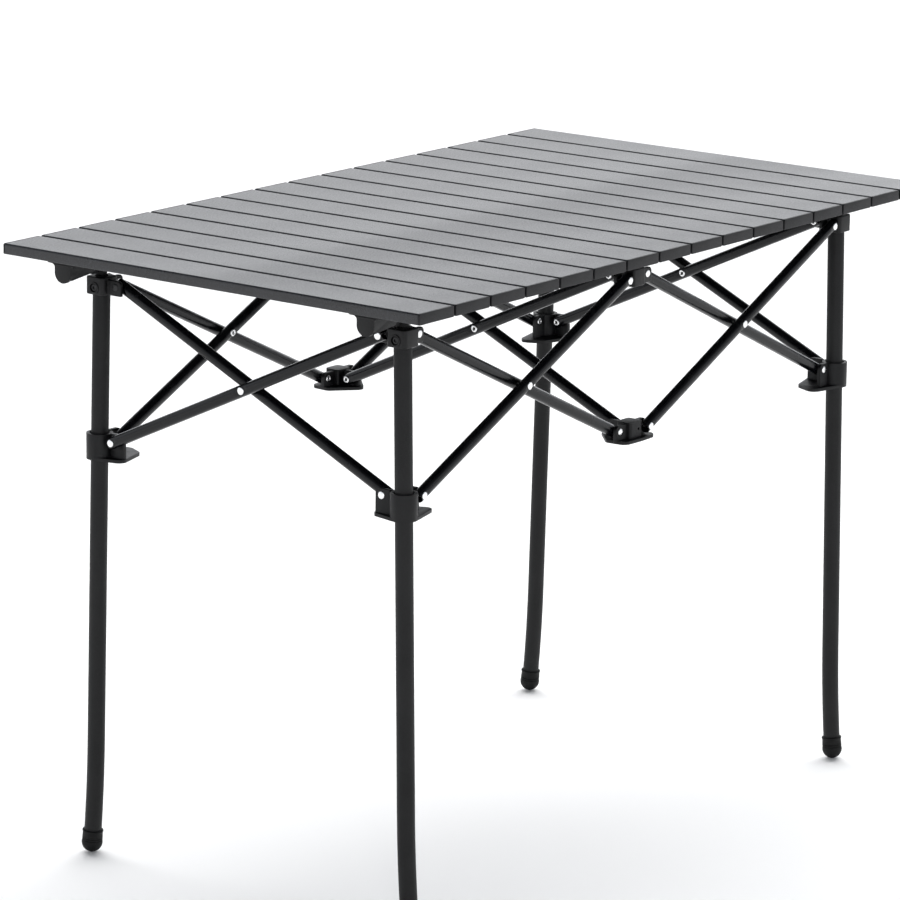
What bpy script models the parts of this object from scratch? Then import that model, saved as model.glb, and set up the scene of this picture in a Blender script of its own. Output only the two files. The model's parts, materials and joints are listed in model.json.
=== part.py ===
"""Folding camping side table: a roll-top of aluminium slats on a scissor frame with four sliding collars.

Frame: X runs along the table's long side, Y along the slats, +Z up, origin on the floor under the middle.
The frame has six columns of hubs: four legs at the corners and two hanging hubs in the middle of the
long sides. Each column has an upper hub, which stays under the top, and a lower hub, which slides down as
the frame folds. Seven crossed pairs of identical bars join neighbouring columns.
"""
import math

import bmesh
import bpy
from mathutils import Matrix, Vector

# Table top
TOP_LENGTH = 0.950
TOP_WIDTH = 0.555
TOP_HEIGHT = 0.680
SLAT_COUNT = 16
SLAT_GAP = 0.0030
BITE = 0.0010              # how far solids that are joined or cut reach past each other
SLAT_THICKNESS = 0.0115
SLAT_WALL = 0.0016
SLAT_LIP = 0.0100          # inward lip at each side of the slat's open underside
SHOULDER_RADIUS = 0.0022   # rounded upper edges of a slat
SOLE_CHAMFER = 0.0012      # lower edges of a slat
PLUG_LENGTH = 0.0120       # solid end of a slat, filled by its moulded plug
SLAT_PITCH = (TOP_LENGTH + SLAT_GAP) / SLAT_COUNT
SLAT_WIDTH = SLAT_PITCH - SLAT_GAP
SLAT_UNDERSIDE = TOP_HEIGHT - SLAT_THICKNESS

# Scissor frame
COLUMN_X = 0.404           # half the distance between end columns
COLUMN_Y = 0.202           # half the distance between the two long sides
PIVOT_REACH = 0.0225       # from a column's axis to its bar pivots
UPPER_PIVOT_Z = 0.635
LOWER_PIVOT_Z = 0.467
BAR_RADIUS = 0.0065
BAR_WALL = 0.0012
BAR_OFFSET = 0.0070        # from a pair's middle plane to each bar's axis
BAR_OVERHANG = 0.0045      # bar beyond its pivot
PIN_RADIUS = 0.0022
PIN_HOLE_RADIUS = 0.0026
RIVET_HEAD_RADIUS = 0.0042
RIVET_HEAD_HEIGHT = 0.0013
GAP = 0.0003               # running gap between pieces that touch
PIN_SIDES = 6              # facets of rivet shanks and of the holes they turn in
TUBE_SIDES = 12            # facets of bars and legs

# Legs and feet
LEG_RADIUS = 0.0095
LEG_WALL = 0.0012
LEG_LEAN = 0.0212          # outward lean, as a slope
LEG_KICK = 0.0050          # extra outward offset of the bent lower end
LEG_BEND_Z = 0.130         # where the bend starts
LEG_TOP_Z = 0.6405
LEG_PIN_Z = 0.633
FOOT_RADIUS = 0.0115
FOOT_HEIGHT = 0.0260
FOOT_TAPER = 0.0004
FOOT_LIP = 0.0008          # chamfer of the boot's rim

# Hubs
CAP_HALF = 0.0125
CAP_CORNER = 0.0045
CAP_BOTTOM_Z = 0.6253
CAP_TOP_Z = 0.6445
CAP_SOCKET_RADIUS = 0.0101
NECK_RADIUS = 0.0060
BOSS_RADIUS = 0.0065
BOSS_HEIGHT = 0.0010
COLLAR_RADIUS = 0.0145
COLLAR_BORE = 0.0111
COLLAR_BOTTOM_Z = 0.4448
COLLAR_TOP_Z = 0.4732
FLANGE_THICKNESS = 0.0035
FLANGE_END_RADIUS = 0.0088
COLLAR_FLANGE_ENDS = ((0.0375, 0.0), (0.0300, 0.0150), (0.0, 0.0235))  # inwards along X and along Y
MID_FLANGE_RADIUS = 0.0168
MID_FLANGE_ENDS = ((0.0215, 0.0060), (0.0205, -0.0070), (0.0, 0.0260))  # along X and inwards along Y
MID_LOW_BOTTOM_Z = 0.4548
MID_LOW_TOP_Z = 0.4755
LUG_THICKNESS = 0.0044
LUG_REACH = 0.0300
LUG_RISE = 0.0070          # lug above the pivot
LUG_CORNER = 0.0050
LUG_LIFT = 0.0010          # lug's lower edge above the flange's underside
CAP_ROOT = 0.0105          # where the lugs start, from the column's axis
MID_ROOT = 0.0060
COLLAR_ROOT = 0.0115
MID_HALF_X = 0.0110
MID_HALF_Y = 0.0095
MID_CORNER = 0.0030

# Brackets and latch levers
PLATE_THICKNESS = 0.0030
PLATE_INNER = 0.0120       # from the column's axis towards the table's middle
PLATE_OUTER = 0.0620       # from the column's axis towards the table's end
PLATE_HALF_WIDTH = 0.0230
PLATE_CORNER = 0.0040
LATCH_PIVOT = 0.0220       # from the column's axis outwards to the lever's pivot
LATCH_PIN_RADIUS = 0.0030
LATCH_PIN_LENGTH = 0.0095
LATCH_HEAD_RADIUS = 0.0050
LATCH_HEAD_HEIGHT = 0.0015
LATCH_HUB_RADIUS = 0.0075
LATCH_DEPTH = 0.0114
JAW_CLEAR = 0.0065
JAW_WALL = 0.0040
JAW_REACH = 0.0060         # how far the jaw passes the column's axis
JAW_DEPTH = 0.0165
WEB_OUTER = 0.0165         # where the jaw and its web run into the hub
WEB_SIDE = 0.0015          # how far the web passes the pivot's middle line
ARM_HALF_WIDTH = 0.0095
ARM_START = 0.0240
ARM_START_DEPTH = 0.0124
ARM_END_DEPTH = 0.0164
FIN_THICKNESS = 0.0035
FIN_HALF_WIDTH = 0.0110
FIN_FILLET = 0.0035
FIN_DEPTH = 0.0197

BAR_RUN = 2 * COLUMN_Y - 2 * PIVOT_REACH
BAR_DROP = UPPER_PIVOT_Z - LOWER_PIVOT_Z
BAR_LENGTH = math.hypot(BAR_RUN, BAR_DROP)
PLATE_TOP = SLAT_UNDERSIDE - GAP
PLATE_UNDERSIDE = PLATE_TOP - PLATE_THICKNESS
NECK_TOP_Z = PLATE_UNDERSIDE - GAP
MID_NECK_TOP_Z = SLAT_UNDERSIDE - GAP       # no plate lies over the middle hubs


# ---------------------------------------------------------------- general helpers

def clear_scene():
    for obj in list(bpy.data.objects):
        bpy.data.objects.remove(obj, do_unlink=True)


def make_material(name, color, roughness, metallic):
    material = bpy.data.materials.new(name)
    material.use_nodes = True
    shader = material.node_tree.nodes["Principled BSDF"]
    shader.inputs["Base Color"].default_value = (*color, 1.0)
    shader.inputs["Roughness"].default_value = roughness
    shader.inputs["Metallic"].default_value = metallic
    return material


def mesh_from(bm, name):
    """Bmesh to a mesh with outward faces, smooth where it is round."""
    bmesh.ops.recalc_face_normals(bm, faces=bm.faces)
    mesh = bpy.data.meshes.new(name)
    bm.to_mesh(mesh)
    bm.free()
    return mesh


def link(name, mesh, material, matrix):
    """A named object that shows mesh, placed by matrix."""
    obj = bpy.data.objects.new(name, mesh)
    if not mesh.materials:
        mesh.materials.append(material)
        mesh.shade_smooth()
        mesh.set_sharp_from_angle(angle=math.radians(35))
    obj.matrix_world = matrix
    bpy.context.scene.collection.objects.link(obj)
    return obj


def place(name, mesh, material, origin):
    """A piece modelled in table coordinates, with its object's origin moved to origin."""
    mesh.transform(Matrix.Translation(-Vector(origin)))
    return link(name, mesh, material, Matrix.Translation(origin))


def combine(base, tool, operation):
    """Boolean of two meshes, which are used up. Returns the resulting mesh."""
    base_obj = bpy.data.objects.new("base", base)
    tool_obj = bpy.data.objects.new("tool", tool)
    for obj in (base_obj, tool_obj):
        bpy.context.scene.collection.objects.link(obj)
    modifier = base_obj.modifiers.new("cut", "BOOLEAN")
    modifier.operation = operation
    modifier.object = tool_obj
    graph = bpy.context.evaluated_depsgraph_get()
    result = bpy.data.meshes.new_from_object(base_obj.evaluated_get(graph))
    for obj in (base_obj, tool_obj):
        bpy.data.objects.remove(obj, do_unlink=True)
    for mesh in (base, tool):
        bpy.data.meshes.remove(mesh)
    return result


def join(base, *tools):
    for tool in tools:
        base = combine(base, tool, "UNION")
    return base


def cut(base, *tools):
    for tool in tools:
        base = combine(base, tool, "DIFFERENCE")
    return base


def prism(outline, u, v, origin, depth):
    """Closed solid: a flat outline along axes u and v from origin, extruded by the vector depth."""
    bm = bmesh.new()
    origin, u, v = Vector(origin), Vector(u), Vector(v)
    verts = [bm.verts.new(origin + u * a + v * b) for a, b in outline]
    face = bm.faces.new(verts)
    grown = bmesh.ops.extrude_face_region(bm, geom=[face])
    moved = [item for item in grown["geom"] if isinstance(item, bmesh.types.BMVert)]
    bmesh.ops.translate(bm, verts=moved, vec=Vector(depth))
    return mesh_from(bm, "prism")


def box(low, high):
    outline = [(low[0], low[1]), (high[0], low[1]), (high[0], high[1]), (low[0], high[1])]
    return prism(outline, (1, 0, 0), (0, 1, 0), (0, 0, low[2]), (0, 0, high[2] - low[2]))


def circle(radius, count, centre=(0.0, 0.0), start=0.0, sweep=2 * math.pi):
    """Points on a full circle, or on an arc when sweep is less than a turn."""
    full = sweep >= 2 * math.pi - 1e-6
    steps = count if full else count - 1
    angles = [start + sweep * i / steps for i in range(count)]
    return [(centre[0] + radius * math.cos(a), centre[1] + radius * math.sin(a)) for a in angles]


def rod(start, end, radius, sides=12):
    """Solid round rod between two points."""
    start, end = Vector(start), Vector(end)
    axis = (end - start).normalized()
    side = axis.orthogonal().normalized()
    outline = circle(radius, sides, start=math.pi / sides)
    return prism(outline, side, axis.cross(side), start, end - start)


def rounded_rectangle(half_u, half_v, radius, segments=3):
    """Outline of a rectangle with round corners, counter-clockwise."""
    points = []
    for quarter, (su, sv) in enumerate(((1, 1), (-1, 1), (-1, -1), (1, -1))):
        centre = (su * (half_u - radius), sv * (half_v - radius))
        points += circle(radius, segments + 1, centre, quarter * math.pi / 2, math.pi / 2)
    return points


def convex_hull(points):
    """Counter-clockwise hull of 2-D points."""
    points = sorted(set(points))

    def half(ordered):
        chain = []
        for p in ordered:
            while len(chain) > 1 and turn(chain[-2], chain[-1], p) <= 1e-12:
                chain.pop()
            chain.append(p)
        return chain[:-1]

    return half(points) + half(points[::-1])


def turn(a, b, c):
    return (b[0] - a[0]) * (c[1] - a[1]) - (b[1] - a[1]) * (c[0] - a[0])


# ---------------------------------------------------------------- table top

def slat_outline():
    """Cross-section of a slat in X and Z, with its top face at z = 0."""
    half = SLAT_WIDTH / 2
    right = circle(SHOULDER_RADIUS, 4, (half - SHOULDER_RADIUS, -SHOULDER_RADIUS), 0, math.pi / 2)
    left = [(-x, z) for x, z in reversed(right)]
    base = [(-half, -SLAT_THICKNESS + SOLE_CHAMFER), (-half + SOLE_CHAMFER, -SLAT_THICKNESS),
            (half - SOLE_CHAMFER, -SLAT_THICKNESS), (half, -SLAT_THICKNESS + SOLE_CHAMFER)]
    return right + left + base


def slat_mesh():
    """An aluminium channel, open below between its lips, with a solid plugged end each side."""
    half_y = TOP_WIDTH / 2
    body = prism(slat_outline(), (1, 0, 0), (0, 0, 1), (0, -half_y, 0), (0, TOP_WIDTH, 0))
    wide = SLAT_WIDTH / 2 - SLAT_WALL
    narrow = wide - SLAT_LIP
    ceiling, floor = -SLAT_WALL, -SLAT_THICKNESS + SLAT_WALL
    below = -SLAT_THICKNESS - SLAT_WALL
    pocket = [(-wide, ceiling), (-wide, floor), (-narrow, floor), (-narrow, below),
              (narrow, below), (narrow, floor), (wide, floor), (wide, ceiling)]
    pocket_length = TOP_WIDTH - 2 * PLUG_LENGTH
    channel = prism(pocket, (1, 0, 0), (0, 0, 1), (0, -pocket_length / 2, 0), (0, pocket_length, 0))
    return cut(body, channel)


def slat_centre_x(number):
    return (number - (SLAT_COUNT + 1) / 2) * SLAT_PITCH


def slat_hinge_x(number):
    """Where a slat turns: the gap on its side towards the table's middle."""
    inward = 1 if number <= SLAT_COUNT // 2 else -1
    return slat_centre_x(number) + inward * SLAT_PITCH / 2


def build_slats(material):
    """Sixteen equal slats. Each object's origin is on its hinge line, at the top face."""
    fixed = SLAT_COUNT // 2
    shared = {}
    for number in range(1, SLAT_COUNT + 1):
        side = 0 if number == fixed else (1 if number < fixed else -1)
        if side not in shared:
            mesh = slat_mesh()
            mesh.transform(Matrix.Translation((-side * SLAT_PITCH / 2, 0, 0)))
            shared[side] = mesh
        x = slat_centre_x(number) if side == 0 else slat_hinge_x(number)
        link(f"slat_{number:02d}", shared[side], material, Matrix.Translation((x, 0, TOP_HEIGHT)))


# ---------------------------------------------------------------- corner brackets and latch levers

def build_bracket(name, sx, sy, material):
    """Plate under an end slat with the lever's pivot pin. sx and sy are the corner's signs."""
    x, y = sx * COLUMN_X, sy * COLUMN_Y
    plate = prism(
        rounded_rectangle((PLATE_OUTER + PLATE_INNER) / 2, PLATE_HALF_WIDTH, PLATE_CORNER),
        (1, 0, 0), (0, 1, 0),
        (x + sx * (PLATE_OUTER - PLATE_INNER) / 2, y, PLATE_UNDERSIDE), (0, 0, PLATE_THICKNESS))
    pivot = Vector((x + sx * LATCH_PIVOT, y, PLATE_UNDERSIDE + BITE))
    pin_end = Vector((pivot.x, pivot.y, PLATE_UNDERSIDE - LATCH_PIN_LENGTH))
    pin = rod(pivot, pin_end, LATCH_PIN_RADIUS)
    head = rod(pin_end, pin_end - Vector((0, 0, LATCH_HEAD_HEIGHT)), LATCH_HEAD_RADIUS)
    mesh = join(plate, pin, head)
    place(name, mesh, material, (x, y, PLATE_TOP))


def fin_outline():
    """Finger fin seen from the table's end: flared at the top, half-round at the bottom."""
    half, flare = FIN_HALF_WIDTH, FIN_HALF_WIDTH + FIN_FILLET
    bottom = circle(half, 9, (0, half - FIN_DEPTH), math.pi, math.pi)
    left = circle(FIN_FILLET, 4, (-flare, -FIN_FILLET), math.pi / 2, -math.pi / 2)
    right = circle(FIN_FILLET, 4, (flare, -FIN_FILLET), math.pi, -math.pi / 2)
    return left + bottom + right


def build_latch(name, sx, sy, material):
    """Swing lever on the bracket's pin. Its jaw and web back the cap's neck on two sides."""
    x, y = sx * COLUMN_X, sy * COLUMN_Y
    top = PLATE_UNDERSIDE - GAP
    out = Vector((sx, 0, 0))
    origin = Vector((x, y, top))

    def block(start, end, side_low, side_high, depth):
        """Box from start to end along out and between two distances along +Y, hanging from the top."""
        xs = sorted((x + sx * start, x + sx * end))
        return box((xs[0], y + side_low, top - depth), (xs[1], y + side_high, top))

    fin = prism(fin_outline(), (0, 1, 0), (0, 0, 1), origin + out * (PLATE_OUTER - FIN_THICKNESS),
                out * FIN_THICKNESS)
    arm_end = PLATE_OUTER - FIN_THICKNESS / 2
    arm = prism([(ARM_START, 0), (ARM_START, -ARM_START_DEPTH), (arm_end, -ARM_END_DEPTH), (arm_end, 0)],
                out, (0, 0, 1), origin - Vector((0, ARM_HALF_WIDTH, 0)), (0, 2 * ARM_HALF_WIDTH, 0))
    pivot = origin + out * LATCH_PIVOT
    hub = rod(pivot, pivot - Vector((0, 0, LATCH_DEPTH)), LATCH_HUB_RADIUS, 12)
    jaw = block(-JAW_REACH, WEB_OUTER, JAW_CLEAR, JAW_CLEAR + JAW_WALL, JAW_DEPTH)
    web = block(JAW_CLEAR, WEB_OUTER, -WEB_SIDE, JAW_CLEAR + BITE, JAW_DEPTH)
    bore = rod(pivot + Vector((0, 0, BITE)), pivot - Vector((0, 0, 2 * LATCH_DEPTH)),
               LATCH_PIN_RADIUS + GAP)
    seat = pivot - Vector((0, 0, LATCH_PIN_LENGTH - 2 * GAP))
    counterbore = rod(seat, seat - Vector((0, 0, LATCH_DEPTH)), LATCH_HEAD_RADIUS + GAP)
    mesh = cut(join(fin, arm, hub, jaw, web), bore, counterbore)
    place(name, mesh, material, pivot)


# ---------------------------------------------------------------- legs and feet

def leg_offset(z):
    """How far a leg's centre line is outside its column's axis at height z."""
    bend = max(0.0, (LEG_BEND_Z - z) / LEG_BEND_Z)
    return LEG_LEAN * (LEG_PIN_Z - z) + LEG_KICK * bend * bend


def leg_slope(z):
    bend = max(0.0, (LEG_BEND_Z - z) / LEG_BEND_Z)
    return LEG_LEAN + 2 * LEG_KICK * bend / LEG_BEND_Z


def tube_rings(bm, stations, radius, sides):
    """One ring of vertices at each (point, u, v) station."""
    rings = []
    for point, u, v in stations:
        rings.append([bm.verts.new(point + u * a + v * b) for a, b in circle(radius, sides)])
    return rings


def bridge(bm, first, second):
    count = len(first)
    for i in range(count):
        j = (i + 1) % count
        bm.faces.new((first[i], first[j], second[j], second[i]))


def hollow_tube(stations, radius, wall, sides):
    """Open-ended tube through stations."""
    bm = bmesh.new()
    outer = tube_rings(bm, stations, radius, sides)
    inner = tube_rings(bm, stations, radius - wall, sides)
    for a, b in zip(outer, outer[1:]):
        bridge(bm, a, b)
    for a, b in zip(inner, inner[1:]):
        bridge(bm, b, a)
    bridge(bm, inner[0], outer[0])
    bridge(bm, outer[-1], inner[-1])
    return mesh_from(bm, "tube")


def leg_frame(sx, sy, z):
    """Point and cross-section axes of a leg at height z."""
    point = Vector((sx * COLUMN_X, sy * (COLUMN_Y + leg_offset(z)), z))
    along = Vector((0, -sy * leg_slope(z), 1)).normalized()
    u = Vector((1, 0, 0))
    return point, u, along.cross(u)


def build_leg(name, sx, sy, material):
    """Straight leaning tube with a bent lower end, drilled for the screw it hangs on."""
    bend_steps = 4
    heights = [LEG_TOP_Z, LEG_BEND_Z]
    heights += [LEG_BEND_Z + (FOOT_RADIUS - LEG_BEND_Z) * i / bend_steps for i in range(1, bend_steps + 1)]
    stations = [leg_frame(sx, sy, z) for z in heights]
    tube = hollow_tube(stations, LEG_RADIUS, LEG_WALL, TUBE_SIDES)
    pin = Vector((sx * COLUMN_X, sy * COLUMN_Y, LEG_PIN_Z))
    across = Vector((2 * LEG_RADIUS, 0, 0))
    mesh = cut(tube, rod(pin - across, pin + across, PIN_HOLE_RADIUS + GAP, PIN_SIDES))
    place(name, mesh, material, pin)


def build_foot(name, sx, sy, material):
    """Rubber boot with a domed sole, turned about the leg's lower end."""
    centre, u, v = leg_frame(sx, sy, FOOT_RADIUS)
    along = u.cross(v)
    rise = FOOT_HEIGHT - FOOT_RADIUS
    bore = LEG_RADIUS + GAP
    dome = [(FOOT_RADIUS * math.cos(a), FOOT_RADIUS * math.sin(a))
            for a in [-math.pi / 2 + math.pi / 2 * i / 4 for i in range(5)]]
    profile = dome + [(FOOT_RADIUS - FOOT_TAPER, rise - FOOT_LIP),
                      (FOOT_RADIUS - FOOT_TAPER - FOOT_LIP, rise),
                      (bore, rise), (bore, -GAP)]
    bm = bmesh.new()
    sides = 16
    rings = []
    for radius, height in profile[1:]:
        ring = [bm.verts.new(centre + u * a + v * b + along * height) for a, b in circle(radius, sides)]
        rings.append(ring)
    for a, b in zip(rings, rings[1:]):
        bridge(bm, a, b)
    sole = bm.verts.new(centre - along * FOOT_RADIUS)
    for i in range(sides):
        bm.faces.new((sole, rings[0][(i + 1) % sides], rings[0][i]))
    bm.faces.new(rings[-1])
    place(name, mesh_from(bm, name), material, centre)


# ---------------------------------------------------------------- scissor bars

def bar_mesh(carries_crossing_pin):
    """A straight tube along local X between its pivots, with local +Y away from the pair's middle plane."""
    x_axis, y_axis, z_axis = Vector((1, 0, 0)), Vector((0, 1, 0)), Vector((0, 0, 1))
    stations = [(x_axis * -BAR_OVERHANG, y_axis, z_axis),
                (x_axis * (BAR_LENGTH + BAR_OVERHANG), y_axis, z_axis)]
    mesh = hollow_tube(stations, BAR_RADIUS, BAR_WALL, TUBE_SIDES)
    head_top = BAR_RADIUS + RIVET_HEAD_HEIGHT
    lug_back = -BAR_OFFSET + GAP - LUG_THICKNESS - 2 * GAP
    for x in (0.0, BAR_LENGTH):
        mesh = join(mesh, *rivet(x, head_top, lug_back))
    middle = BAR_LENGTH / 2
    if carries_crossing_pin:
        far_side = -2 * BAR_OFFSET - BAR_RADIUS - GAP
        return join(mesh, *rivet(middle, head_top, far_side))
    hole_end = y_axis * (2 * BAR_RADIUS)
    hole = rod(x_axis * middle - hole_end, x_axis * middle + hole_end, PIN_HOLE_RADIUS, PIN_SIDES)
    return cut(mesh, hole)


def rivet(x, head_top, tail):
    """Shank and two heads of a rivet across a bar at x, from its outer head down to its tail."""
    shank = rod((x, BAR_RADIUS, 0), (x, tail - RIVET_HEAD_HEIGHT / 2, 0), PIN_RADIUS, PIN_SIDES)
    outer_head = rod((x, BAR_RADIUS - BITE, 0), (x, head_top, 0), RIVET_HEAD_RADIUS, 8)
    inner_head = rod((x, tail, 0), (x, tail - RIVET_HEAD_HEIGHT, 0), RIVET_HEAD_RADIUS, 8)
    return shank, outer_head, inner_head


def build_bar(name, mesh, upper, lower, outward, material):
    """Places a bar from its upper pivot to its lower one, in table coordinates."""
    along = (lower - upper).normalized()
    across = Vector(outward)
    matrix = Matrix.Translation(upper) @ Matrix((along, across, along.cross(across))).transposed().to_4x4()
    link(name, mesh, material, matrix)


def build_bars(material):
    """Seven crossed pairs. Along X the bar on the -Y side rises to +X, along Y the -X one falls to +Y."""
    pin_bar, hole_bar = bar_mesh(True), bar_mesh(False)
    for label, start, end in SCISSOR_PAIRS:
        a, b = Vector((*start, 0)), Vector((*end, 0))
        run = (b - a).normalized()
        side = Vector((0, -1, 0)) if abs(run.x) > 0.5 else Vector((-1, 0, 0))
        rising_first = abs(run.x) > 0.5
        for letter, mesh, sign in (("a", pin_bar, 1), ("b", hole_bar, -1)):
            shift = side * (sign * BAR_OFFSET)
            near = a + run * PIVOT_REACH + shift
            far = b - run * PIVOT_REACH + shift
            upper, lower = (far, near) if rising_first == (sign > 0) else (near, far)
            upper = Vector((upper.x, upper.y, UPPER_PIVOT_Z))
            lower = Vector((lower.x, lower.y, LOWER_PIVOT_Z))
            build_bar(f"bar_{label}_{letter}", mesh, upper, lower, side * sign, material)


SCISSOR_PAIRS = (
    ("front_left", (-COLUMN_X, -COLUMN_Y), (0, -COLUMN_Y)),
    ("front_right", (0, -COLUMN_Y), (COLUMN_X, -COLUMN_Y)),
    ("rear_left", (-COLUMN_X, COLUMN_Y), (0, COLUMN_Y)),
    ("rear_right", (0, COLUMN_Y), (COLUMN_X, COLUMN_Y)),
    ("left_end", (-COLUMN_X, -COLUMN_Y), (-COLUMN_X, COLUMN_Y)),
    ("centre", (0, -COLUMN_Y), (0, COLUMN_Y)),
    ("right_end", (COLUMN_X, -COLUMN_Y), (COLUMN_X, COLUMN_Y)),
)


# ---------------------------------------------------------------- hubs

def hub_arms(sx, sy, is_upper):
    """Directions of a column's lugs, each with the unit vector towards the side its bar is on."""
    arms = []
    for dx in (-1, 1):
        if sx == 0 or dx == -sx:
            # the bar on the -Y side is up at its +X end
            bar_side = -1 if is_upper == (dx < 0) else 1
            arms.append((Vector((dx, 0, 0)), Vector((0, bar_side, 0))))
    dy = -sy
    bar_side = -1 if is_upper == (dy > 0) else 1
    arms.append((Vector((0, dy, 0)), Vector((bar_side, 0, 0))))
    return arms


def lug(axis_point, direction, bar_side, pivot_z, bottom_z, root):
    """Plate that carries one bar, on the other side of the pair's middle plane. root is where it starts."""
    top = pivot_z + LUG_RISE
    outline = [(root, bottom_z), (LUG_REACH, bottom_z)]
    outline += circle(LUG_CORNER, 4, (LUG_REACH - LUG_CORNER, top - LUG_CORNER), 0, math.pi / 2)
    outline += [(root, top)]
    start = Vector((axis_point.x, axis_point.y, 0)) + bar_side * (GAP * 2 / 3)
    plate = prism(outline, direction, (0, 0, 1), start, -bar_side * LUG_THICKNESS)
    pivot = Vector((axis_point.x, axis_point.y, pivot_z)) + direction * PIVOT_REACH
    hole = rod(pivot - bar_side * BAR_OFFSET, pivot + bar_side * BAR_OFFSET, PIN_HOLE_RADIUS, PIN_SIDES)
    return plate, hole


def add_lugs(mesh, axis_point, arms, pivot_z, bottom_z, root):
    holes = []
    for direction, bar_side in arms:
        plate, hole = lug(axis_point, direction, bar_side, pivot_z, bottom_z, root)
        mesh = join(mesh, plate)
        holes.append(hole)
    return cut(mesh, *holes)


def flange(centre, radius, ends, bottom_z):
    """Base plate whose outline wraps a circle at centre and a small round end at each of ends."""
    points = circle(radius, 16, (centre.x, centre.y))
    for end in ends:
        points += circle(FLANGE_END_RADIUS, 10, (end.x, end.y))
    outline = convex_hull(points)
    return prism(outline, (1, 0, 0), (0, 1, 0), (0, 0, bottom_z), (0, 0, FLANGE_THICKNESS))


def first_pivot(axis_point, arms, pivot_z):
    """Point on the pivot that a hub turns about: the arm along X, or the one along Y in the middle."""
    direction, bar_side = arms[0]
    return axis_point + direction * PIVOT_REACH + Vector((0, 0, pivot_z))


def build_cap(name, sx, sy, material):
    """Upper hub of a leg: socket, two lugs, the neck that the top rests on, and the leg's screw."""
    axis = Vector((sx * COLUMN_X, sy * COLUMN_Y, 0))
    arms = hub_arms(sx, sy, True)
    height = CAP_TOP_Z - CAP_BOTTOM_Z
    body = prism(rounded_rectangle(CAP_HALF, CAP_HALF, CAP_CORNER), (1, 0, 0), (0, 1, 0),
                 axis + Vector((0, 0, CAP_BOTTOM_Z)), (0, 0, height))
    face = axis + Vector((sx * (CAP_HALF - BITE), 0, LEG_PIN_Z))
    boss = rod(face, face + Vector((sx * (BOSS_HEIGHT + BITE), 0, 0)), BOSS_RADIUS, 12)
    neck = rod(axis + Vector((0, 0, CAP_TOP_Z - BITE)), axis + Vector((0, 0, NECK_TOP_Z)), NECK_RADIUS, 12)
    mesh = add_lugs(join(body, boss, neck), axis, arms, UPPER_PIVOT_Z, CAP_BOTTOM_Z, CAP_ROOT)
    socket_top = LEG_TOP_Z + 3 * GAP
    socket = rod(axis + Vector((0, 0, CAP_BOTTOM_Z - BITE)), axis + Vector((0, 0, socket_top)),
                 CAP_SOCKET_RADIUS, 16)
    pin = axis + Vector((0, 0, LEG_PIN_Z))
    across = Vector((CAP_HALF - BITE, 0, 0))
    mesh = join(cut(mesh, socket), rod(pin - across, pin + across, PIN_RADIUS, PIN_SIDES))
    place(name, mesh, material, first_pivot(axis, arms, UPPER_PIVOT_Z))


def build_mid_top_hub(name, sy, material):
    """Upper hub in the middle of a long side: a block with three lugs and a neck."""
    axis = Vector((0, sy * COLUMN_Y, 0))
    arms = hub_arms(0, sy, True)
    body = prism(rounded_rectangle(MID_HALF_X, MID_HALF_Y, MID_CORNER), (1, 0, 0), (0, 1, 0),
                 axis + Vector((0, 0, CAP_BOTTOM_Z)), (0, 0, CAP_TOP_Z - CAP_BOTTOM_Z))
    neck = rod(axis + Vector((0, 0, CAP_TOP_Z - BITE)), axis + Vector((0, 0, MID_NECK_TOP_Z)),
               NECK_RADIUS, 12)
    mesh = add_lugs(join(body, neck), axis, arms, UPPER_PIVOT_Z, CAP_BOTTOM_Z, MID_ROOT)
    place(name, mesh, material, axis + Vector((0, 0, UPPER_PIVOT_Z)))


def build_collar(name, sx, sy, material):
    """Lower hub of a leg: a ring that slides on the leg, with a flange and two lugs."""
    axis = Vector((sx * COLUMN_X, sy * COLUMN_Y, 0))
    arms = hub_arms(sx, sy, False)
    middle_z = (COLLAR_BOTTOM_Z + COLLAR_TOP_Z) / 2
    centre = axis + Vector((0, sy * leg_offset(middle_z), 0))
    ring = rod(centre + Vector((0, 0, COLLAR_BOTTOM_Z)), centre + Vector((0, 0, COLLAR_TOP_Z)),
               COLLAR_RADIUS, 16)
    ends = [axis + Vector((-sx * across, -sy * along, 0)) for across, along in COLLAR_FLANGE_ENDS]
    mesh = join(ring, flange(centre, COLLAR_RADIUS, ends, COLLAR_BOTTOM_Z))
    mesh = add_lugs(mesh, axis, arms, LOWER_PIVOT_Z, COLLAR_BOTTOM_Z + LUG_LIFT, COLLAR_ROOT)
    bore = rod(centre + Vector((0, 0, COLLAR_BOTTOM_Z - BITE)),
               centre + Vector((0, 0, COLLAR_TOP_Z + BITE)), COLLAR_BORE, 16)
    place(name, cut(mesh, bore), material, first_pivot(axis, arms, LOWER_PIVOT_Z))


def build_mid_low_hub(name, sy, material):
    """Lower hub in the middle of a long side: a block on a flange with three lugs."""
    axis = Vector((0, sy * COLUMN_Y, 0))
    arms = hub_arms(0, sy, False)
    body = prism(rounded_rectangle(MID_HALF_X, MID_HALF_Y, MID_CORNER), (1, 0, 0), (0, 1, 0),
                 axis + Vector((0, 0, MID_LOW_BOTTOM_Z)), (0, 0, MID_LOW_TOP_Z - MID_LOW_BOTTOM_Z))
    ends = [axis + Vector((side * across, -sy * along, 0))
            for across, along in MID_FLANGE_ENDS for side in (-1, 1)]
    mesh = join(body, flange(axis, MID_FLANGE_RADIUS, ends, MID_LOW_BOTTOM_Z))
    mesh = add_lugs(mesh, axis, arms, LOWER_PIVOT_Z, MID_LOW_BOTTOM_Z + LUG_LIFT, MID_ROOT)
    place(name, mesh, material, axis + Vector((0, 0, LOWER_PIVOT_Z)))


# ---------------------------------------------------------------- assembly

CORNERS = (
    ("front_left", -1, -1),
    ("rear_left", -1, 1),
    ("front_right", 1, -1),
    ("rear_right", 1, 1),
)


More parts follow.
